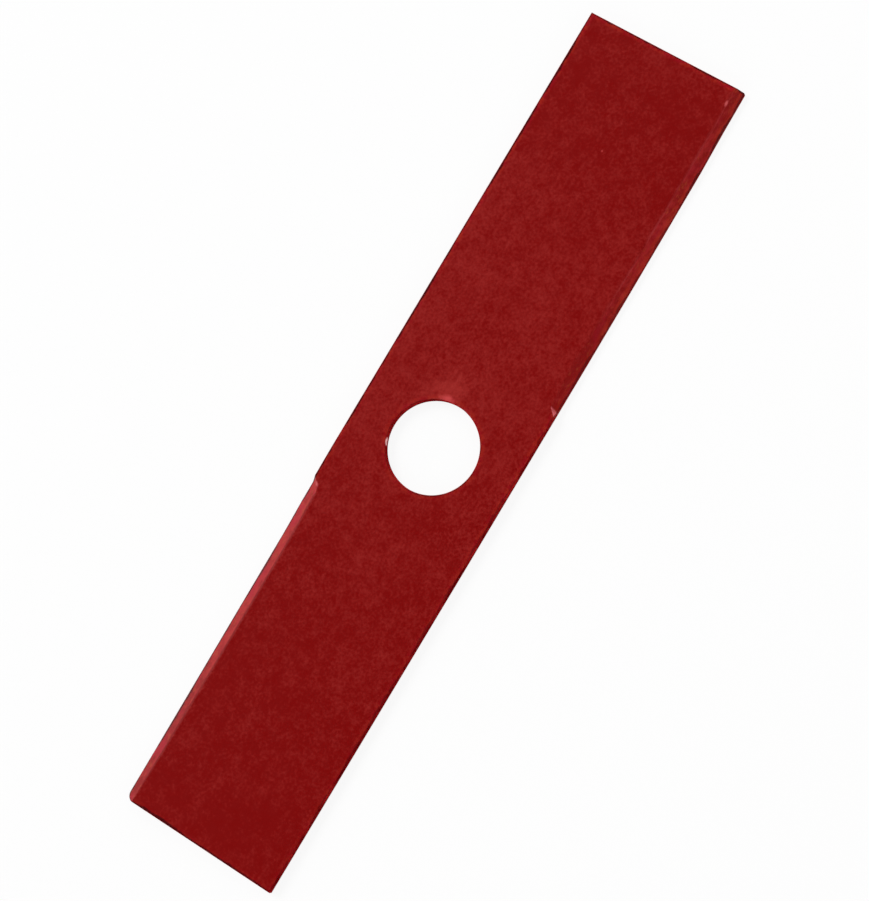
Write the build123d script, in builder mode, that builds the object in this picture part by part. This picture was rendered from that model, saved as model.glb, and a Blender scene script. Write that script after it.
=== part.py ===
from build123d import *
import os

# Brush cutter blade: one flat steel bar with a round arbor bore in its middle and one cutting bevel at each end.
# The origin is the centre of the bore on the underside. +X runs along the bar, +Y across it, and +Z out of the
# bevelled face. Half a turn about Z carries one end of the blade onto the other.

# Driving dimensions in millimetres

# The bar
length = 243.0
width = 48.0
thickness = 2.5

# The arbor bore, one inch
bore_diameter = 25.4

# How far the burr is broken at the rims of the bore, and how round the rolled and sheared edges are
rim_break = 0.3
edge_radius = 0.2

# The ground bevel: its width seen from above, and the blunt wall that is left under it
bevel_width = 3.2
land_height = 1.0

# Where the grinding begins, measured along the bar from the centre of the bore
grind_start = 22.6

# The slanted facet where the grinding runs out: its foot along the cutting edge, and how much further along
# the bar its corner at the inner line of the bevel lies
run_out_foot = 1.8
run_out_slant = 2.9

# How round the valley between that facet and the bevel is, as the rim of a grinding wheel leaves it
run_out_radius = 4.0

# At the tip the cutting edge lies this far back from the side of the bar, and its corner is rounded
edge_setback = 0.65
tip_radius = 1.8

# Sizes that follow
half_length = length / 2
half_width = width / 2
edge_start = grind_start + run_out_foot
edge_at_tip = half_width - edge_setback
bevel_line = half_width - bevel_width
bevel_drop = thickness - land_height
bevel_slope = bevel_drop / bevel_width

# The grinding takes away a wedge of metal. Its section is drawn looking along the bar: it lies on the slope of
# the bevel, and it is carried this far past the side, the tip and the face, so that it cuts cleanly.
overrun = 1.0
side_end = half_width + overrun
side_height = land_height - overrun * bevel_slope
top_height = thickness + overrun

# The run-out facet passes through three points: where it starts on the upper edge of the side, its corner on
# the inner line of the bevel, and its foot on the cutting edge.
facet_start = Vector(grind_start, -half_width, thickness)
facet_corner = Vector(grind_start + run_out_slant, -bevel_line, thickness)
facet_foot = Vector(edge_start, -half_width, land_height)
facet_normal = (facet_corner - facet_start).cross(facet_foot - facet_start)
facet_plane = Plane(origin=facet_start, z_dir=facet_normal)

with BuildPart() as grinding:
    with BuildSketch(Plane.YZ):
        with BuildLine():
            Polyline(
                (-bevel_line, thickness),
                (-bevel_line, top_height),
                (-side_end, top_height),
                (-side_end, side_height),
                close=True,
            )
        make_face()
    extrude(amount=half_length + overrun)
    split(bisect_by=facet_plane, keep=Keep.BOTTOM)
    valley = grinding.edges().sort_by_distance((facet_corner + facet_foot) / 2)[0]
    fillet(valley, radius=run_out_radius)

with BuildPart() as blade:
    # The outline of the bar: square heels, and cutting edges that draw in a little towards the rounded tips
    with BuildSketch() as outline:
        with BuildLine():
            Polyline(
                (-half_length, -half_width),
                (edge_start, -half_width),
                (half_length, -edge_at_tip),
                (half_length, half_width),
                (-edge_start, half_width),
                (-half_length, edge_at_tip),
                close=True,
            )
        make_face()
        right_tip = outline.vertices().group_by(Axis.X)[-1].sort_by(Axis.Y)[0]
        left_tip = outline.vertices().group_by(Axis.X)[0].sort_by(Axis.Y)[-1]
        fillet([right_tip, left_tip], radius=tip_radius)
    extrude(amount=thickness)

    # The edges all round, as rolling, shearing and paint leave them, on both faces
    faces = blade.faces().filter_by(Axis.Z)
    fillet(faces.edges(), radius=edge_radius)

    # One bevel at each end, half a turn apart
    with PolarLocations(0, 2):
        add(grinding.part, mode=Mode.SUBTRACT)

    # The arbor bore, through both faces
    Hole(radius=bore_diameter / 2)
    rims = blade.edges().filter_by(GeomType.CIRCLE).filter_by(lambda edge: edge.radius > tip_radius)
    chamfer(rims, length=rim_break)

blade.part.label = "blade"
os.makedirs("parts", exist_ok=True)
export_step(blade.part, "parts/blade.step")
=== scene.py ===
# %% [markdown]
# # A brush cutter blade
#
# The real object is one flat bar of steel with a round hole in its middle. A machine spins it about that
# hole, and each end cuts along one side, where a bevel is ground. The whole bar is painted red.
#
# This lesson builds it in Blender the way one would by hand: a simple solid is cut, filed and drilled, and
# then painted. The engineering model of the same blade is loaded first. It gives the place and the size of
# everything, so that nothing has to be fitted by eye.

# %% The frame
import math

import bmesh
import bpy
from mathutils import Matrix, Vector


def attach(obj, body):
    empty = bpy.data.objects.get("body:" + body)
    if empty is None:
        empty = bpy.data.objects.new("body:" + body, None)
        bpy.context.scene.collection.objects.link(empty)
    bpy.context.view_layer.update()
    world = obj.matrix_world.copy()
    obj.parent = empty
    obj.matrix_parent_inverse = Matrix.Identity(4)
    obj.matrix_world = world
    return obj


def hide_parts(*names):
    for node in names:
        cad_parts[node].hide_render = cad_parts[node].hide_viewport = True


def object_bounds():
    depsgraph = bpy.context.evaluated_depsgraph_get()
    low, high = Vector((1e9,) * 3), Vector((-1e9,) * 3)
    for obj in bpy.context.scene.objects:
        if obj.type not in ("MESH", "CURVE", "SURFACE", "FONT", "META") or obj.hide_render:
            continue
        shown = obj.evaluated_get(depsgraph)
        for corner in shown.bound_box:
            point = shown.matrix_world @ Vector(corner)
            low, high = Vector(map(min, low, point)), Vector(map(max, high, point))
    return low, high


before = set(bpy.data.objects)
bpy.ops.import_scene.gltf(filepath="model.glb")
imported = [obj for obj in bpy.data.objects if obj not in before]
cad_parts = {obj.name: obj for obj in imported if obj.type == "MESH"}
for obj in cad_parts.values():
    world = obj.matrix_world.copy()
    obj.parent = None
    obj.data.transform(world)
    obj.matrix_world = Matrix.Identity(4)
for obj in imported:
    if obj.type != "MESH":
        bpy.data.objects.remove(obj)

cad_low, cad_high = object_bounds()
length, width, thickness = cad_high - cad_low
print("the blade is", [round(1000 * side, 2) for side in (length, width, thickness)], "mm")

# %% [markdown]
# ## The sizes
#
# Blender works in metres here, and a blade is easier to think of in millimetres, so every size is written
# as a number of millimetres times `mm`. The upper line of a bevel is where it meets the flat face, and the
# land is the blunt strip of wall that the grinding leaves under it. The two together give the slope of the
# bevel.

# %% Sizes
mm = 0.001
half_length = length / 2
half_width = width / 2
bore_radius = 12.7 * mm

bevel_line = 20.8 * mm
land_height = 1.0 * mm
bevel_angle = math.atan2(thickness - land_height, half_width - bevel_line)
print("the bevel slopes at", round(math.degrees(bevel_angle), 1), "degrees")

# %% [markdown]
# ## Helpers for working in edit mode
#
# An operator in Blender acts on whatever is selected. Loading the frame leaves its parts selected, so each
# step starts by letting go of everything. `pick` then selects vertices, edges or faces by a test on their
# place or on the faces beside them, which is what a click does by hand.

# %% Selecting
tolerance = 0.01 * mm


def let_go():
    """Leaves edit mode and deselects every object."""
    if bpy.context.object and bpy.context.object.mode != "OBJECT":
        bpy.ops.object.mode_set(mode="OBJECT")
    bpy.ops.object.select_all(action="DESELECT")


def work_on(piece):
    """Makes one object the only one that is selected."""
    let_go()
    piece.select_set(True)
    bpy.context.view_layer.objects.active = piece


def pick(piece, kind, test):
    """Enters edit mode and selects what passes a test: VERT, EDGE or FACE. Returns how many there are."""
    work_on(piece)
    bpy.ops.object.mode_set(mode="EDIT")
    bpy.ops.mesh.select_mode(type=kind)
    bpy.ops.mesh.select_all(action="DESELECT")
    shape = bmesh.from_edit_mesh(piece.data)
    found = 0
    for item in {"VERT": shape.verts, "EDGE": shape.edges, "FACE": shape.faces}[kind]:
        if test(item):
            item.select_set(True)
            found += 1
    shape.select_flush_mode()
    bmesh.update_edit_mesh(piece.data)
    return found


def near(value, target, within=tolerance):
    return abs(value - target) < within


print("places are compared to", tolerance / mm, "mm")

# %% [markdown]
# Five moves are enough for the whole blade: add a block, cut it with a plane, move some vertices, round
# some edges, and take one shape out of another. Each is one operator with its selection, so each gets a
# short name. Rounding and subtracting can leave vertices that lie on one another, with faces as thin as a
# hair between them. So both end with a merge by distance.

# %% The five moves
merge_distance = 0.004 * mm


def block(name, low, high):
    """Adds a cube that fills the box between two corners, with its place in its mesh."""
    let_go()
    low, high = Vector(low), Vector(high)
    bpy.ops.mesh.primitive_cube_add(size=1, location=(low + high) / 2)
    bpy.ops.transform.resize(value=high - low)
    bpy.ops.object.transform_apply(location=True, rotation=True, scale=True)
    piece = bpy.context.object
    piece.name = name
    piece.data.name = name
    return piece


def slice_at(piece, point, normal, **settings):
    """Cuts all of a piece with a plane. With clear_inner, what lies behind the plane is taken away."""
    pick(piece, "FACE", lambda face: True)
    bpy.ops.mesh.bisect(plane_co=point, plane_no=normal, threshold=1e-7, **settings)
    bpy.ops.object.mode_set(mode="OBJECT")


def shift(piece, test, offset):
    """Moves the vertices that pass a test."""
    if pick(piece, "VERT", test):
        bpy.ops.transform.translate(value=offset)
    bpy.ops.object.mode_set(mode="OBJECT")


def merge_close(piece):
    """Makes one vertex of those that lie within a few thousandths of a millimetre of each other."""
    pick(piece, "VERT", lambda v: True)
    bpy.ops.mesh.remove_doubles(threshold=merge_distance)
    bpy.ops.object.mode_set(mode="OBJECT")


def round_edges(piece, test, offset, segments):
    """Rounds the edges that pass a test, and returns how many there were."""
    found = pick(piece, "EDGE", test)
    bpy.ops.mesh.bevel(offset=offset, segments=segments, affect="EDGES", clamp_overlap=False)
    bpy.ops.object.mode_set(mode="OBJECT")
    merge_close(piece)
    return found


def cut_away(piece, tool):
    """Takes the shape of a tool out of a piece, and then removes the tool."""
    work_on(piece)
    cut = piece.modifiers.new("cut", "BOOLEAN")
    cut.operation = "DIFFERENCE"
    cut.solver = "EXACT"
    cut.object = tool
    bpy.ops.object.modifier_apply(modifier=cut.name)
    bpy.data.objects.remove(tool)
    merge_close(piece)


print("vertices closer than", merge_distance / mm, "mm are merged")

# %% [markdown]
# ## The bar
#
# The real bar is cut from flat steel by a shear. It starts here as a cube primitive, scaled to the bar's
# length, width and thickness. The cutting side of each end draws in a little towards the tip, by as much as
# the grinder took off. So the bar is sliced across at a few stations, and the corners of the side are then
# moved in at each of them. The stations are few, because a grinder leaves one long fair curve and not a
# saw.
#
# The grinding was done by hand, so the two ends differ, and one side draws in by a tenth of a millimetre
# even before its bevel begins. Each end has its own list of stations: how far along the bar, and how far
# the cutting edge lies from the middle there, both in millimetres.

# %% Bar
bar = block("blade_bar", cad_low, cad_high)

cutting_edges = {
    1: [(24.4, 24.0), (40, 24.0), (60, 23.93), (80, 23.8), (98, 23.67), (110, 23.33), (121.5, 23.17)],
    -1: [
        (14, 24.0), (22.3, 23.9), (23.9, 23.7), (30, 23.68),
        (40, 23.44), (60, 23.35), (90, 23.15), (121.5, 22.97),
    ],
}
for end, stations in cutting_edges.items():
    for along, _ in stations[:-1]:
        slice_at(bar, (end * along * mm, 0, 0), (1, 0, 0))
    for along, out in stations:
        inwards = (0, end * (half_width - out * mm), 0)
        shift(bar, lambda v: near(v.co.x, end * along * mm) and near(v.co.y, -end * half_width), inwards)
print("the bar has", len(bar.data.vertices), "vertices")

# %% [markdown]
# A shear doesn't cut quite true either. Along the heel of one end, which is the side that doesn't cut, it
# drifted in by a seventh of a millimetre. Both ends are a little out of square: their back corners lie
# further in.

# %% Shear
heel_drift = 0.14 * mm
drift_from = 22.3 * mm
for along, _ in cutting_edges[-1]:
    drift = heel_drift * max(0.0, along * mm - drift_from) / (half_length - drift_from)
    shift(bar, lambda v: near(v.co.x, -along * mm) and near(v.co.y, -half_width), (0, drift, 0))

out_of_square = {1: 0.1 * mm, -1: 0.04 * mm}
for end, offset in out_of_square.items():
    shift(bar, lambda v: near(v.co.x, end * half_length) and end * v.co.y > 0, (-end * offset, 0, 0))
print("the ends are out of square by", [round(offset / mm, 2) for offset in out_of_square.values()], "mm")

# %% [markdown]
# The outer corner of each cutting edge is worn round. That corner is one upright edge of the bar, and a
# bevel with many segments turns it into a quarter circle. One tip is worn much more than the other.

# %% Tips
tip_radii = {1: 0.35 * mm, -1: 2.2 * mm}
arc_segments = 10


def on_tip(edge, end):
    tip_y = -end * cutting_edges[end][-1][1] * mm
    return all(near(v.co.x, end * half_length) and near(v.co.y, tip_y) for v in edge.verts)


for end, radius in tip_radii.items():
    found = round_edges(bar, lambda edge: on_tip(edge, end), radius, segments=arc_segments)
    print("rounded", found, "corner by", round(radius / mm, 1), "mm")

# %% [markdown]
# Rolling and shearing leave the long edges and the ends a little round, and the paint rounds them more. All
# the edges between a flat face and the side are beveled in one go. They are found by the faces beside them:
# one looks up or down, and the other looks sideways. A normal is one unit long, so how far it points up or
# down is a number from 0 to 1. The upper edges, which the shear pulled down, are rounder.

# %% Rolled edges
upper_round = 0.22 * mm
lower_round = 0.1 * mm
flat_above = 0.9
side_below = 0.1


def between_face_and_side(edge):
    heights = sorted(abs(face.normal.z) for face in edge.link_faces)
    return len(heights) == 2 and heights[0] < side_below and heights[1] > flat_above


def upper_edge(edge):
    return edge.verts[0].co.z > thickness / 2 and between_face_and_side(edge)


def lower_edge(edge):
    return edge.verts[0].co.z < thickness / 2 and between_face_and_side(edge)


upper = round_edges(bar, upper_edge, upper_round, segments=4)
lower = round_edges(bar, lower_edge, lower_round, segments=3)
print("rounded", upper, "upper and", lower, "lower edges")

# %% [markdown]
# ## The ground bevels
#
# A grinding wheel takes a wedge of metal off the upper face along the cutting side. The easiest way to get
# the same shape, and the same short slanted facet where the wheel first touched, is to model the metal that
# was taken away and to subtract it. The wedge is a block, sliced once along the slope of the bevel and once
# along the facet. The valley between those two is rounded, as the rim of the wheel leaves it.
#
# Both planes are known before anything is cut. The slope follows from the bevel's angle, and three points
# give the facet: where it starts on the upper edge of the side, its corner on the line of the bevel, and
# its foot on the cutting edge. One bevel starts narrow, so the line of the bevel is given too, as it is
# beside the facet.

# %% Two planes
facets = {1: (22.7 * mm, 24.9 * mm, 24.9 * mm), -1: (22.2 * mm, 24.9 * mm, 23.4 * mm)}
first_lines = {1: 21.7 * mm, -1: 21.27 * mm}


def slope_up(end):
    """The way the sloping face of a bevel looks."""
    return Vector((0, -end * math.sin(bevel_angle), math.cos(bevel_angle)))


def facet_plane(end):
    """A point of the facet, and the way the facet looks."""
    start_x, corner_x, foot_x = facets[end]
    start = Vector((end * start_x, -end * half_width, thickness))
    corner = Vector((end * corner_x, -end * first_lines[end], thickness))
    foot = Vector((end * foot_x, -end * half_width, land_height))
    return start, (foot - start).cross(corner - start).normalized()


for end in (1, -1):
    turned = math.degrees(slope_up(end).angle(facet_plane(end)[1]))
    print("the wheel turned by", round(turned, 1), "degrees")

# %% [markdown]
# The upper line of a real bevel is never quite straight, since the hand that pushes the bar along the wheel
# lets it rise and fall. So the wedge is sliced at a few stations too, and moved sideways at each, which
# moves that line in or out.

# %% Wedges
bevel_lines = {
    1: [(38, 21.2), (53, 21.1), (66, 21.2), (82, 21.04), (97, 20.91), (108, 20.73), (124, 20.45)],
    -1: [(31, 21.14), (36, 20.88), (45, 20.78), (62, 20.72), (93, 20.72), (106, 20.68), (124, 20.95)],
}
first_stretch = 27.0 * mm
wheel_rims = {1: 1.5 * mm, -1: 4.0 * mm}
spare = 1.0 * mm


def wedge(end):
    """The metal that is ground off one end. end is 1 for the side of +X, and -1 for the side of -X."""
    near_x, far_x = sorted((end * (facets[end][0] - spare), end * (half_length + spare)))
    near_y, far_y = sorted((-end * (half_width + spare), -end * (bevel_line - 2 * spare)))
    piece = block("grinding", (near_x, near_y, -spare), (far_x, far_y, thickness + spare))
    slice_at(piece, (0, -end * bevel_line, thickness), slope_up(end), clear_inner=True, use_fill=True)

    slice_at(piece, (end * first_stretch, 0, 0), (1, 0, 0))
    for along, _ in bevel_lines[end][:-1]:
        slice_at(piece, (end * along * mm, 0, 0), (1, 0, 0))
    sideways = (0, end * (bevel_line - first_lines[end]), 0)
    shift(piece, lambda v: end * v.co.x < first_stretch + tolerance, sideways)
    for along, out in bevel_lines[end]:
        place = end * min(along * mm, half_length + spare)
        shift(piece, lambda v: near(v.co.x, place), (0, end * (bevel_line - out * mm), 0))

    facet_point, facet_up = facet_plane(end)
    slice_at(piece, facet_point, facet_up, clear_inner=True, use_fill=True)

    def in_valley(edge):
        normals = [face.normal for face in edge.link_faces]
        return all(any(n.dot(up) < -0.999 for n in normals) for up in (slope_up(end), facet_up))

    turn = slope_up(end).angle(facet_up)
    found = round_edges(piece, in_valley, wheel_rims[end] * math.tan(turn / 2), segments=arc_segments)
    print("rounded", found, "valley by the rim of the wheel")
    return piece


for end in (1, -1):
    cut_away(bar, wedge(end))
print("after grinding the bar has", len(bar.data.polygons), "faces")

# %% [markdown]
# ## The bore
#
# The hole is punched. A cylinder with many sides is subtracted, so that the rim stays round in a close
# view, and both rims are then beveled, because the punch and the paint leave no sharp corner.

# %% Bore
rim_break = 0.3 * mm
bore_sides = 160
let_go()
middle = (0, 0, thickness / 2)
bpy.ops.mesh.primitive_cylinder_add(
    vertices=bore_sides, radius=bore_radius, depth=3 * thickness, location=middle
)
punch = bpy.context.object
bpy.ops.object.transform_apply(location=True, rotation=True, scale=True)
cut_away(bar, punch)


def on_bore_rim(edge):
    halfway = (edge.verts[0].co + edge.verts[1].co) / 2
    return near(halfway.xy.length, bore_radius, 0.1 * mm) and between_face_and_side(edge)


print("rim edges of the bore:", round_edges(bar, on_bore_rim, rim_break, segments=3))

# %% [markdown]
# ## Softening the ridge
#
# Where the bevel meets the flat face there would be a ruled line. On the real blade the wheel's grit and
# the coat over it blur that line to about a millimetre. The edges of the ridge have the flat face on one
# side and the slope on the other, so they are found by how much the two faces look up. The rounding begins
# a little way beyond the facet, because beside it, it would run into the rounded valley and fold the mesh
# over itself.

# %% Soft ridge
ridge_softness = 0.48 * mm
slope_looks_up = math.cos(bevel_angle)
face_looks_up = 0.995


def on_ridge(edge):
    heights = sorted(face.normal.z for face in edge.link_faces)
    beyond_facet = all(abs(v.co.x) > first_stretch - tolerance for v in edge.verts)
    if len(heights) != 2 or not beyond_facet:
        return False
    return near(heights[0], slope_looks_up, 0.05) and heights[1] > face_looks_up


ridge_edges = round_edges(bar, on_ridge, ridge_softness, segments=5)
print("softened", ridge_edges, "edges of the ridges")

# %% [markdown]
# ## Even triangles
#
# The cuts have left faces with many corners. Every program splits such a face into triangles in its own
# way, and some of those triangles are as thin as a hair. They are split here, by the method that keeps them
# as even as it can, so that the mesh is the same wherever it is opened.

# %% Triangles
many_corners = pick(bar, "FACE", lambda face: len(face.verts) > 4)
bpy.ops.mesh.quads_convert_to_tris(quad_method="BEAUTY", ngon_method="BEAUTY")
bpy.ops.object.mode_set(mode="OBJECT")
print("split", many_corners, "faces with many corners")

# %% [markdown]
# ## Smooth shading
#
# Smooth shading bends the light across neighbouring faces, as if the surface were curved. That is right for
# the rounded edges and wrong for the corners that stay sharp, so only the edges under 20 degrees are
# smoothed. Weighted normals then keep the big flat faces flat and leave all the bending to the narrow
# strips beside them.

# %% Smooth shading
smoothed_below = math.radians(20)
work_on(bar)
bpy.ops.object.shade_smooth_by_angle(angle=smoothed_below)
weigh = bar.modifiers.new("weigh", "WEIGHTED_NORMAL")
weigh.keep_sharp = True
bpy.ops.object.modifier_apply(modifier=weigh.name)
print("faces:", len(bar.data.polygons), "vertices:", len(bar.data.vertices))

# %% [markdown]
# ## Writing a material as sums
#
# A material in Blender is a tree of nodes. A tree for worn paint has dozens of them, and most only add,
# multiply or compare numbers. `Wire` stands for one socket, and it knows what `+`, `-`, `*` and `/` mean:
# each adds a Math node. So a mask for the rim of the hole can be written as one line of plain arithmetic.

# %% Wires
class Wire:
    """A socket in a tree of nodes that can be used in a sum."""

    def __init__(self, paint, socket):
        self.paint = paint
        self.socket = socket

    def combine(self, operation, first, second):
        return self.paint.node("ShaderNodeMath", {"operation": operation}, {0: first, 1: second})

    def __add__(self, other):
        return self.combine("ADD", self, other)

    def __sub__(self, other):
        return self.combine("SUBTRACT", self, other)

    def __rsub__(self, other):
        return self.combine("SUBTRACT", other, self)

    def __mul__(self, other):
        return self.combine("MULTIPLY", self, other)

    def __truediv__(self, other):
        return self.combine("DIVIDE", self, other)

    def __pow__(self, other):
        return self.combine("POWER", self, other)

    def __abs__(self):
        return self.combine("ABSOLUTE", self, 0.0)

    __radd__ = __add__
    __rmul__ = __mul__

    def least(self, other):
        return self.combine("MINIMUM", self, other)

    def most(self, other):
        return self.combine("MAXIMUM", self, other)

    def rise(self, low, high):
        """0 below low and 1 above high, with a soft step between. With low above high it falls."""
        sockets = {"Value": self, "From Min": low, "From Max": high}
        if low > high:
            sockets = {"Value": self, "From Min": high, "From Max": low, "To Min": 1.0, "To Max": 0.0}
        return self.paint.node("ShaderNodeMapRange", {"interpolation_type": "SMOOTHSTEP"}, sockets)

    def follow(self, stations):
        """The line through a list of stations, as a sum of straight ramps."""
        line = stations[0][1]
        for (low, start), (high, finish) in zip(stations, stations[1:]):
            sockets = {"Value": self, "From Min": low, "From Max": high}
            ramp = self.paint.node("ShaderNodeMapRange", {}, sockets)
            line = ramp * (finish - start) + line
        return line


print("a Wire knows:", [name for name in vars(Wire) if not name.startswith("__")])

# %% [markdown]
# `Paint` is the tree itself, of a material or of the world. Its `node` method makes any node. Its other
# methods are the few combinations that this blade needs again and again: the place on the piece in
# millimetres, cloudy noise of a given size, a blend of two colours, and a fine relief. The place comes from
# Object coordinates, so a pattern stays where it is on the steel.

# %% Paints
class Paint:
    """A tree of nodes: that of a new material, or one that is given."""

    def __init__(self, name, tree=None):
        if tree is None:
            self.material = bpy.data.materials.new(name)
            self.material.use_nodes = True
            tree = self.material.node_tree
        self.tree = tree
        self.tree.nodes.clear()

    def node(self, kind, settings=None, sockets=None, output=0):
        """Adds a node: its settings come first, then the values or links of its sockets."""
        made = self.tree.nodes.new(kind)
        for name, value in (settings or {}).items():
            setattr(made, name, value)
        for name, value in (sockets or {}).items():
            if isinstance(value, Wire):
                self.tree.links.new(value.socket, made.inputs[name])
            else:
                made.inputs[name].default_value = value
        return Wire(self, made.outputs[output]) if made.outputs else None

    def apart(self, vector):
        """The x, y and z of a vector."""
        first = self.node("ShaderNodeSeparateXYZ", {}, {0: vector})
        return [Wire(self, socket) for socket in first.socket.node.outputs]

    def place(self):
        """The place on the piece in millimetres, as a vector and as x, y and z."""
        metres = self.node("ShaderNodeTexCoord", output="Object")
        whole = self.node("ShaderNodeVectorMath", {"operation": "SCALE"}, {0: metres, "Scale": 1 / mm})
        return [whole] + self.apart(whole)

    def facing(self):
        """How far the smooth surface looks along x, y and z. On a flat face that looks up, z is 1."""
        return self.apart(self.node("ShaderNodeTexCoord", output="Normal"))

    def grain(self, where, size, detail=2.0, roughness=0.5, stretch=(1, 1, 1)):
        """Cloudy noise around 0.5 whose largest cells are about size millimetres across."""
        scale = [1 / (size * wide) for wide in stretch]
        mapped = self.node("ShaderNodeMapping", {"vector_type": "POINT"}, {"Vector": where, "Scale": scale})
        sockets = {"Vector": mapped, "Scale": 1.0, "Detail": detail, "Roughness": roughness}
        return self.node("ShaderNodeTexNoise", {}, sockets)

    def blend(self, amount, first, second):
        """A colour between two colours."""
        settings = {"data_type": "RGBA", "clamp_factor": True}
        return self.node("ShaderNodeMix", settings, {0: amount, 6: first, 7: second}, output=2)

    def relief(self, height, depth):
        """Fine relief on the surface. depth is in millimetres."""
        return self.node("ShaderNodeBump", {}, {"Height": height, "Distance": depth * mm, "Strength": 1.0})

    def finish(self, colour, roughness, normal, gloss):
        """Joins the colour, the roughness and the relief to a shader and to the output."""
        sockets = {"Base Color": colour, "Roughness": roughness, "Normal": normal}
        sockets["Specular IOR Level"] = gloss
        return self.show(self.node("ShaderNodeBsdfPrincipled", {}, sockets))

    def show(self, shader):
        self.node("ShaderNodeOutputMaterial", {}, {"Surface": shader})
        return self.material


def rgb(red, green, blue):
    return (red, green, blue, 1.0)


print("a Paint knows:", [name for name in vars(Paint) if not name.startswith("__")])

# %% [markdown]
# ## The red on the flat faces
#
# The blade was dipped or sprayed in one coat of red. Seen close, such a coat isn't one colour: it is a
# little thicker here and thinner there, from clouds a centimetre wide down to specks of half a millimetre.
# So two reds lie close together, and noise of three sizes mixes them. The coat is also painted darker
# towards the end of -X, and a little towards the end of +X, and lighter on the side of +Y: painted shade
# and painted light, as the lamp's light falls off across the blade. Finer noise lifts the surface by a
# hundredth of a millimetre, as the skin of an orange does, and breaks up the gloss.
#
# Colours are written as red, green and blue from 0 to 1, in the linear values that Blender's nodes take. On
# a screen they look brighter than their numbers, so a deep red has very small ones for green and blue.

# %% Mottled red
deep_red = rgb(0.196, 0.0012, 0.0012)
warm_red = rgb(0.270, 0.0130, 0.0115)


def mottled_red(paint, where, x, y):
    """The colour of the coat: two reds, mixed by clouds, cells and specks."""
    clouds = paint.grain(where, 14, 2, 0.5)
    cells = paint.grain(where, 3.2, 3, 0.72)
    specks = paint.grain(where, 0.8, 2, 0.6)
    mottling = (clouds - 0.5) * 0.7 + (cells - 0.5) * 1.95 + (specks - 0.5) * 1.75
    # Painted shade along the bar, and painted light on the side of +Y, where the lamp falls.
    painted_shade_along = x.rise(-140.0, 30.0) * 0.38 - x.rise(60.0, 95.0) * 0.22
    painted_light_one_side = y.rise(6.0, 22.0) * (x.rise(-25.0, 0.0) - x.rise(70.0, 90.0)) * 0.15
    return paint.blend(mottling + painted_shade_along + painted_light_one_side + 0.02, deep_red, warm_red)


def skin(paint, where):
    """The orange-peel relief of the coat."""
    return paint.grain(where, 1.1, 1, 0.5) * 0.8 + paint.grain(where, 0.3, 2, 0.5) * 0.2


print("the red lies between", deep_red[:3], "and", warm_red[:3])

# %% [markdown]
# ## Marks on the faces
#
# What makes a plain red face look real is where its colour changes. Each mark is a mask, worked out from
# how far a point is from the middle of the mark. The middle, the size in millimetres and the turn of each
# mark are written down once. There are a pale speck, two painted highlights (one on the ridge of a bevel
# and one at the start of the other), a painted glint on the rim of the bore, and a pale patch beside the
# bore. That patch is a painted highlight with scuffs of a rubbed coat in it. Noise makes the patch ragged.

# %% Pale spots, painted highlights and rubs
ridge_highlight_red = rgb(0.46, 0.050, 0.055)
highlight_red = rgb(0.46, 0.042, 0.036)
rubbed_highlight_red = rgb(0.60, 0.068, 0.070)
glint_pink = rgb(0.85, 0.46, 0.46)

highlight_spot = ((15.2, 4.3), (6.2, 4.2), 2.12)
core_spot = ((13.0, 3.2), (2.6, 1.2), 1.85)
strip_spot = ((13.5, -2.0), (3.0, 7.0))
rim_glint_spot = ((-4.78, 11.55), (1.15, 0.45), 0.39)
# A pale speck on the face, then two painted highlights: on the ridge of the bevel of +X, and at the start
# of the bevel of -X.
pale_spots = [
    ((90.1, 1.85), (0.32, 0.32), 0.0, rgb(0.42, 0.040, 0.040)),
    ((116.7, -20.45), (0.95, 0.42), 0.1, rgb(0.56, 0.090, 0.095)),
    ((-24.0, 22.15), (0.95, 0.35), 0.76, rgb(0.54, 0.090, 0.095)),
]


def spot(x, y, middle, size, turn=0.0):
    """How far a point is from the middle of an oval mark: 0 in the middle, and 1 at its edge."""
    dx, dy = x - middle[0], y - middle[1]
    along = dx * math.cos(turn) + dy * math.sin(turn)
    beside = dy * math.cos(turn) - dx * math.sin(turn)
    return ((along / size[0]) ** 2.0 + (beside / size[1]) ** 2.0) ** 0.5


def highlight_and_rub(paint, where, x, y, to_bore, colour):
    """The pale patch by the bore, a painted highlight with scuffs of a rubbed coat: a wide faint glow, a
    core along the rim, and a scuffed strip going on round it.
    """
    ragged = (paint.grain(where, 1.8, 3, 0.65) - 0.5) * 2.2
    glow = (spot(x, y, *highlight_spot) + ragged).rise(1.5, -0.1)
    core = (spot(x, y, *core_spot) + ragged * 0.5).rise(1.2, 0.1)
    scuffs = paint.grain(where, 0.6, 2, 0.6).rise(0.5, 0.62)
    strip = to_bore.rise(1.3, 0.5) * spot(x, y, *strip_spot).rise(1.2, 0.6) * scuffs
    # Painted highlight in the glow and the core, with scuffs of a rubbed coat in the strip.
    colour = paint.blend((glow * 0.40).most(strip * 0.35), colour, highlight_red)
    return paint.blend(core * 0.7, colour, rubbed_highlight_red)


def add_pale_spots(paint, x, y, colour):
    """A pale speck and two painted highlights, on a ridge and at the start of a bevel, each with its own
    tone.
    """
    for middle, size, turn, tone in pale_spots:
        colour = paint.blend(spot(x, y, middle, size, turn).rise(1.3, 0.2) * 0.85, colour, tone)
    return colour


def rim_glint(paint, x, y, z, colour):
    """A painted glint on the upper rim of the bore, drawn as a pale chip that goes a little way down the
    wall.
    """
    glint = spot(x, y, *rim_glint_spot).rise(1.2, 0.7) * z.rise(1.3, 1.6)
    return paint.blend(glint * 0.95, colour, glint_pink)


print("marks: a rub by the bore,", len(pale_spots), "knocks on the coat and a chip on the rim")

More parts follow.
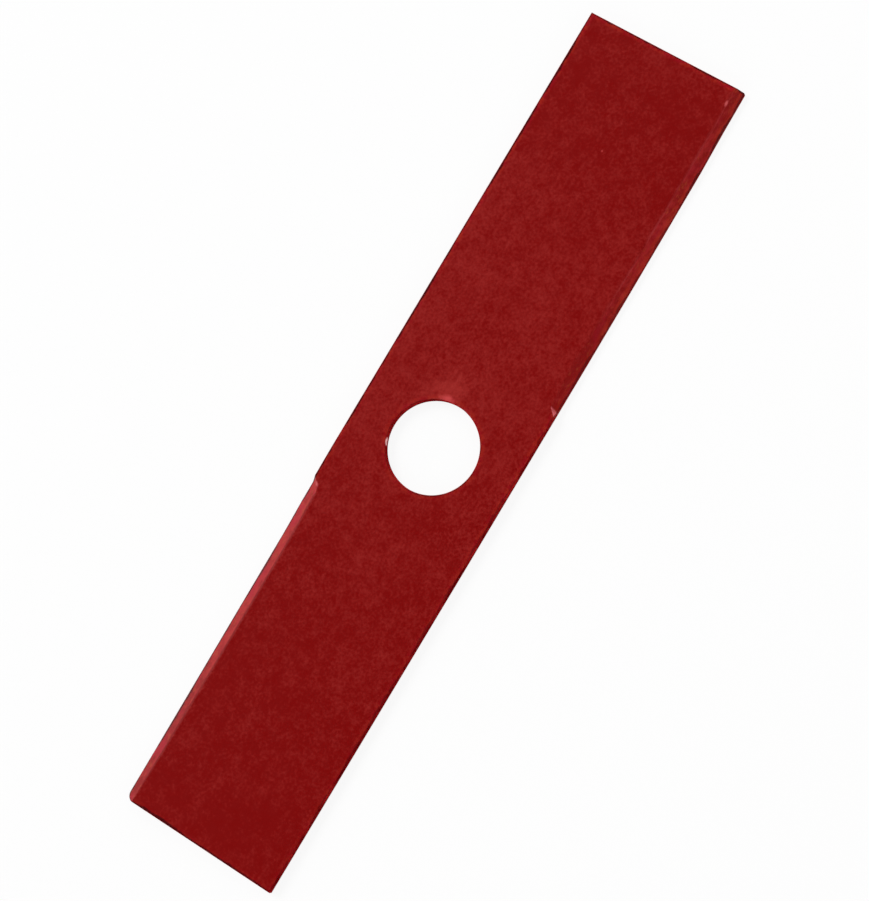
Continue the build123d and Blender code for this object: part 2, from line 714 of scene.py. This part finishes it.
# %% [markdown]
# ## Painted shade and sheen along an edge
#
# At the very rim the colour is painted dark, as painted shade along the edge. Just inside, a band is
# painted a little brighter. It is partly a fat edge of the coat, and partly a painted sheen that grows
# towards the end of +X and at its tip. Both are uneven. The masks start from the distance to the nearest
# rim, and noise moves them in and out.

# %% Edges of the coat
sheen_red = rgb(0.42, 0.0240, 0.0080)
sheen_crimson = rgb(0.36, 0.0040, 0.0160)
rim_shade_red = rgb(0.046, 0.0003, 0.0011)
tip_sheen_spot = ((118.5, -21.0), (6.0, 5.0))


def coat_edges(paint, where, x, y, to_outside, to_bore, colour):
    """The brighter band, partly a fat edge of the coat and partly a painted sheen, and the painted shade at
    the rim, half as strong on the side of -Y.
    """
    across = paint.grain(where, 2.5, 2, 0.6)
    lengthways = paint.grain(where, 9.0, 3, 0.65)
    to_rim = to_outside.least(to_bore)

    # The band is painted brighter towards +X and at that tip: a painted sheen over a fat edge of the coat.
    tip_sheen = spot(x, y, *tip_sheen_spot).rise(1.2, 0.3)
    strength = 0.12 + x.rise(-112.0, 121.0) * 0.30 + tip_sheen * 0.55
    sheen_band = (to_rim + (across - 0.5) * 0.9).rise(1.7, 0.8) * (across * 1.7).least(1.0)
    tint = paint.blend(paint.grain(where, 1.6, 2, 0.6).rise(0.42, 0.58), sheen_crimson, sheen_red)
    colour = paint.blend(sheen_band * strength, colour, tint)

    # Painted shade darkens the very rim.
    uneven = (across - 0.5) * 0.6 + (lengthways - 0.5) * 1.6 - x.rise(-119.0, -120.8) * 0.15
    outside = (to_outside + uneven).rise(0.64, 0.26) * (1.0 - y.rise(-22.0, -23.0) * 0.5)
    shaded = outside.most((to_bore + uneven * 0.6).rise(0.50, 0.16) * 0.6)
    return paint.blend(shaded * 0.9, colour, rim_shade_red)


print("at a bare rim the red goes down to", rim_shade_red[:3])

# %% [markdown]
# ## The paint of the flat faces
#
# The upper face and the underside get the same coat with the same edges. Only the upper face has the marks:
# the speck, the painted highlights, the painted glint, and the patch beside the bore, a painted highlight
# with a coat rubbed by the washer. The gloss varies a little, but it never gets smoother than one value:
# the renderer cleans up anything under about 0.27 as a mirror, which leaves dark dots.

# %% Face paint
coat_relief = 0.012
smoothest = 0.28
face_gloss = 0.35


def face_paint(name, marked):
    """The coat on a flat face. marked adds the speck, the painted highlights, the painted glint and the
    rubbed patch.
    """
    paint = Paint(name)
    where, x, y, z = paint.place()
    to_outside = (half_length / mm - abs(x)).least(half_width / mm - abs(y))
    to_bore = (x * x + y * y) ** 0.5 - bore_radius / mm
    colour = coat_edges(paint, where, x, y, to_outside, to_bore, mottled_red(paint, where, x, y))
    if marked:
        colour = highlight_and_rub(paint, where, x, y, to_bore, colour)
        colour = rim_glint(paint, x, y, z, add_pale_spots(paint, x, y, colour))
    roughness = (0.30 + (paint.grain(where, 2.5, 2, 0.6) - 0.5) * 0.12).most(smoothest)
    return paint.finish(colour, roughness, paint.relief(skin(paint, where), coat_relief), face_gloss)


paints = [face_paint("face_red", marked=True)]
print(paints[0].name, "has", len(paints[0].node_tree.nodes), "nodes")

# %% [markdown]
# ## The paint on the bevels
#
# The wheel leaves the bevels smooth, so the coat lies thinner on them and looks more blotchy. The blotches
# are drawn out along the edge, the way the wheel went, with flecks of rust between them. The two bevels
# differ: one was coated thickly only near its inner end, and the other is thinnest in its middle.
#
# The colour follows the shape. How far the smooth surface looks up says where the ridge is, so the change
# from face to bevel is as soft as the ridge itself. Along the ridge of one bevel a pale line is a painted
# highlight. Where the surface leans along the bar lies the facet, which is painted pink as a painted
# highlight. The rim is found again from the same stations as the shape. It is painted dark as painted
# shade, and just inside it a brighter band is partly a fat edge of the coat and partly a painted sheen.

# %% Bevel paint
thick_coat = rgb(0.235, 0.0025, 0.0025)
thin_coat = rgb(0.350, 0.0125, 0.0125)
crimson = rgb(0.360, 0.0040, 0.0200)
rust_orange = rgb(0.34, 0.046, 0.012)
facet_highlight_pink = rgb(0.68, 0.098, 0.112)
bevel_relief = 0.010
bevel_gloss = 0.3


def to_cutting_edge(x, y):
    """How far a point of a bevel is from the rim of the bar, round the corner of the tip too."""
    at_plus_x = x.rise(-1.0, 1.0)
    nearest = []
    for end in (1, -1):
        radius = tip_radii[end] / mm
        beyond_edge = (radius - (abs(x).follow(cutting_edges[end]) - abs(y))).most(0.0)
        beyond_end = (radius - (half_length / mm - abs(x))).most(0.0)
        inside = (abs(x).follow(cutting_edges[end]) - abs(y)).least(half_length / mm - abs(x)).most(radius)
        nearest.append(inside - (beyond_edge ** 2.0 + beyond_end ** 2.0) ** 0.5)
    return at_plus_x * nearest[0] + (1 - at_plus_x) * nearest[1]


def bevel_paint():
    """The coat on both bevels."""
    paint = Paint("bevel_red")
    where, x, y, _ = paint.place()
    face_x, _, up = paint.facing()
    streaks = paint.grain(where, 1.0, 3, 0.7, stretch=(5, 1, 1))
    blots = paint.grain(where, 2.2, 3, 0.65)
    lengthways = paint.grain(where, 9.0, 3, 0.65)

    plus_x = x.rise(-10.0, 10.0)
    at_minus_x = x.rise(-96.0, -70.0) * 0.58 + x.rise(-112.0, -100.0) * 0.15 + 0.13
    at_plus_x = x.rise(44.0, 70.0) * 0.58 - x.rise(76.0, 88.0) * 0.22 - x.rise(106.0, 116.0) * 0.2 - 0.08
    thin = at_minus_x * (1 - plus_x) + at_plus_x * plus_x + (blots - 0.5) * 2.8 + (streaks - 0.5) * 2.2
    colour = paint.blend(thin, thick_coat, thin_coat)
    pools = paint.grain(where, 3.0, 2, 0.6, stretch=(2, 1, 1)).rise(0.47, 0.66)
    colour = paint.blend(pools * (0.6 - plus_x * 0.35), colour, crimson)
    flecks = paint.grain(where, 0.9, 2, 0.6, stretch=(2, 1, 1)).rise(0.54, 0.70)
    colour = paint.blend(flecks * (1 - pools) * 0.45, colour, rust_orange)

    on_slope = (up + (blots - 0.5) * 0.03).rise(0.975, 0.915)
    colour = paint.blend(on_slope, mottled_red(paint, where, x, y), colour)
    # A pale line along the ridge of the bevel of +X is a painted highlight.
    ridge_highlight = up.rise(0.906, 0.935) * up.rise(0.999, 0.965) * x.rise(42.0, 72.0) * streaks.rise(0.3, 0.65)
    colour = paint.blend(ridge_highlight * 0.34, colour, ridge_highlight_red)

    inwards = to_cutting_edge(x, y)
    uneven = (blots - 0.5) * 0.7 + (lengthways - 0.5) * 1.5
    # Inside the cutting edge a band is painted brighter, partly a fat edge of the coat and partly a painted
    # sheen. Then painted shade darkens the edge itself.
    sheen_band = (inwards + uneven * 0.5).rise(1.5, 0.9) * streaks.rise(0.3, 0.6)
    colour = paint.blend(sheen_band * x.rise(0.0, 60.0) * 0.4, colour, sheen_red)
    shaded = (inwards + uneven).rise(0.44, 0.16) * (0.8 - plus_x * 0.25 + x.rise(75.0, 100.0) * 0.25)
    colour = paint.blend(shaded, colour, rim_shade_red)
    # The facet is painted pink, a painted highlight, broken up by scuffs.
    scuffs = paint.grain(where, 0.7, 2, 0.6, stretch=(1, 4, 1)).rise(0.30, 0.58)
    facet = face_x.rise(0.05, 0.40) * (0.30 + scuffs * 0.70) * inwards.rise(0.10, 0.40)
    colour = paint.blend(facet * 0.95, colour, facet_highlight_pink)
    colour = add_pale_spots(paint, x, y, colour)
    relief = paint.relief(skin(paint, where) + streaks * 0.5, bevel_relief)
    roughness = (0.36 + (blots - 0.5) * 0.2).most(smoothest)
    return paint.finish(colour, roughness, relief, bevel_gloss)


paints.append(bevel_paint())
print(paints[-1].name, "has", len(paints[-1].node_tree.nodes), "nodes")

# %% [markdown]
# ## The sheared sides and the wall of the bore
#
# A shear or a punch leaves two bands on the cut: smooth above, where the tool slid through, and rough
# below, where the steel broke off. Paint lies thin and dry on both, and darker patches of steel show. The
# border of the bands wanders up and down, and fine upright scratches run from face to face. The wall of the
# bore is given a brighter red than the sides.

# %% Side paint
shear_border = 1.3
torn_relief = 0.03


def side_paint(name, shade, glinting=False):
    """The coat on a cut wall. shade makes all of it brighter or darker."""
    paint = Paint(name)
    where, x, y, z = paint.place()
    wavy = paint.grain(where, 3.0, 2, 0.6, stretch=(1, 1, 50))
    broken = (z + (wavy - 0.5) * 1.4).rise(shear_border + 0.17, shear_border - 0.17)
    upright = paint.grain(where, 0.35, 2, 0.6, stretch=(1, 1, 30))
    rough = paint.grain(where, 0.4, 4, 0.7)
    patches = paint.grain(where, 7.0, 3, 0.65)
    dark = rgb(0.090 * shade, 0.0008 * shade, 0.0016 * shade)
    light = rgb(0.290 * shade, 0.0080 * shade, 0.0080 * shade)
    torn = rgb(0.170 * shade, 0.0030 * shade, 0.0036 * shade)
    colour = paint.blend((upright - 0.5) * 1.4 + (patches - 0.5) * 3.6 + 0.5, dark, light)
    colour = paint.blend(broken * (rough * 1.3).least(1.0), colour, torn)
    # The wall of the bore carries the painted glint of its rim.
    if glinting:
        colour = rim_glint(paint, x, y, z, colour)
    height = upright * (1 - broken) * 0.35 + rough * broken
    return paint.finish(colour, 0.75 + broken * 0.15, paint.relief(height, torn_relief), gloss=0.0)


paints.append(side_paint("side_red", shade=1.12))
paints.append(side_paint("bore_red", shade=1.4, glinting=True))
paints.append(face_paint("underside_red", marked=False))
print("paints:", [material.name for material in paints])

# %% [markdown]
# ## Putting the paints on
#
# Each face of the mesh gets its paint by what it is. The bevels lean outwards, so their normals point up
# less than those of the flat face but more than those of a side. The wall of the bore lies near its radius,
# and the rounded edges go with the walls, as the coat is thin there too. The faces are picked by those
# tests and given their slot, one group after the other, over a blade that is all face paint.

# %% Slots
bar.data.materials.clear()
for material in paints:
    bar.data.materials.append(material)


def is_bevel(face):
    """True over the two ground places, along the cutting side of each end."""
    point = face.calc_center_median()
    end = 1 if point.x > 0 else -1
    leaning = 0.3 < face.normal.z < 0.9999
    beyond_bore = end * point.x > 22.0 * mm
    below_face = point.z < thickness - 0.001 * mm
    beside_line = 20.0 * mm < -end * point.y < half_width - 0.05 * mm
    return leaning and beyond_bore and below_face and beside_line


def is_wall(face, in_bore):
    inside = face.calc_center_median().xy.length < bore_radius + 1 * mm
    return abs(face.normal.z) < flat_above and inside == in_bore


tests = {
    2: lambda face: is_wall(face, in_bore=False),
    3: lambda face: is_wall(face, in_bore=True),
    4: lambda face: face.normal.z < -flat_above,
    1: is_bevel,
}
for slot, test in tests.items():
    found = pick(bar, "FACE", test)
    bar.active_material_index = slot
    bpy.ops.object.material_slot_assign()
    bpy.ops.object.mode_set(mode="OBJECT")
    print(paints[slot].name, "is on", found, "faces")

# %% [markdown]
# ## Joining the blade to the frame
#
# The blade has no joints, so it rides on the one body of the frame. It stands for the plain node of the
# engineering model, which is hidden now.

# %% Frame calls
bar.name = "blade_painted"
bar.data.name = "blade_painted"
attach(bar, "root")
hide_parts("blade")
print(bar.name, "rides on root")

# %% [markdown]
# ## The floor
#
# The blade lies on a plain pale floor. The floor glows, but only for the camera and in reflections, so that
# it looks evenly white and still catches a soft shadow. Light Path says which rays those are. The floor is
# a hair below the blade, so that the two faces don't fight for the same place.

# %% Floor
floor_gap = 0.05 * mm
floor_side = 8
floor_white = rgb(0.93, 0.93, 0.93)
seen_white = rgb(0.99, 0.99, 0.99)
seen_glow = 0.91


def seen_rays(paint):
    """1 for a ray from the camera, a mirror or through glass, and 0 for one that only carries light."""
    kinds = ("Is Camera Ray", "Is Glossy Ray", "Is Transmission Ray")
    camera_ray, glossy_ray, clear_ray = [paint.node("ShaderNodeLightPath", output=kind) for kind in kinds]
    return (camera_ray + glossy_ray + clear_ray).least(1.0)


def sheet(name, size, location):
    """A flat sheet that isn't part of the object."""
    let_go()
    bpy.ops.mesh.primitive_plane_add(size=1, location=location)
    piece = bpy.context.object
    piece.name = name
    bpy.ops.transform.resize(value=(size[0], size[1], 1))
    bpy.ops.object.transform_apply(location=True, rotation=True, scale=True)
    return piece


floor = sheet("floor", (floor_side, floor_side), (0, 0, -floor_gap))
pale = Paint("pale_floor")
lit = pale.node("ShaderNodeBsdfDiffuse", {}, {"Color": floor_white})
glow = pale.node("ShaderNodeEmission", {}, {"Color": seen_white, "Strength": 1.0})
mixed = pale.node("ShaderNodeMixShader", {}, {0: seen_rays(pale) * seen_glow, 1: lit, 2: glow})
floor.data.materials.append(pale.show(mixed))
print("the floor lies", floor_gap / mm, "mm below the blade")

# %% [markdown]
# ## The dark cloth
#
# A glossy coat mirrors the room. In an all-white room that lays a grey veil over the red, and a
# photographer hangs a dark cloth where the flat face mirrors the room back into the camera. The same is
# done here. The cloth is high up, out of every view, and it is no wider than it has to be.

# %% Cloth
cloth_size = (1.9, 2.23)
cloth_place = (-0.1, -0.385, 1.05)
cloth_black = rgb(0.02, 0.02, 0.02)
cloth = sheet("dark_cloth", cloth_size, cloth_place)
dark = Paint("dark_cloth")
cloth.data.materials.append(dark.show(dark.node("ShaderNodeBsdfDiffuse", {}, {"Color": cloth_black})))
print("the cloth hangs", cloth_place[2], "m up")

# %% [markdown]
# ## The light
#
# The light is a white room all round. Where the room is seen, by the camera or in the gloss, it is plain
# white, and as a light it is a little stronger, to make up for what the cloth takes away. One soft lamp
# from the back brightens the bevel that leans towards it. It makes no highlight of its own.

# %% Light
room_white = rgb(1, 1, 1)
room_light = 1.4
lamp_strength = 1.8
lamp_spread = math.radians(25)
lamp_height = math.radians(40)
lamp_side = 0.12

world = bpy.data.worlds.new("white_room")
world.use_nodes = True
bpy.context.scene.world = world
room = Paint("white_room", world.node_tree)
strength = room_light + seen_rays(room) * (1.0 - room_light)
sky = room.node("ShaderNodeBackground", {}, {"Color": room_white, "Strength": strength})
room.node("ShaderNodeOutputWorld", {}, {"Surface": sky})

towards_lamp = Vector((lamp_side, math.cos(lamp_height), math.sin(lamp_height)))
let_go()
turn = towards_lamp.to_track_quat("Z", "Y").to_euler()
bpy.ops.object.light_add(type="SUN", location=(0.2, 1, 1), rotation=turn)
lamp = bpy.context.object
lamp.name = "soft_lamp"
lamp.data.energy = lamp_strength
lamp.data.angle = lamp_spread
lamp.visible_glossy = False
print("the lamp stands", round(math.degrees(lamp_height)), "degrees up")

# %% [markdown]
# ## The camera
#
# The camera looks down on the blade from about 60 centimetres, a little from one side, so that the bar
# crosses the picture from corner to corner. Standard is the view transform that leaves colours as they are.

# %% Camera
eye = Vector((-8.836, -166.897, 621.556)) * mm
tilt = [math.radians(angle) for angle in (8.46974, 12.46127, -58.27944)]
bpy.ops.object.camera_add(location=eye, rotation=tilt)
camera = bpy.context.object
camera.data.sensor_width = 36
camera.data.lens = 97.293
bpy.context.scene.camera = camera
bpy.context.scene.view_settings.view_transform = "Standard"
print("the camera is", round(eye.length, 3), "m from the middle of the bore")

# %% [markdown]

# %% [markdown]
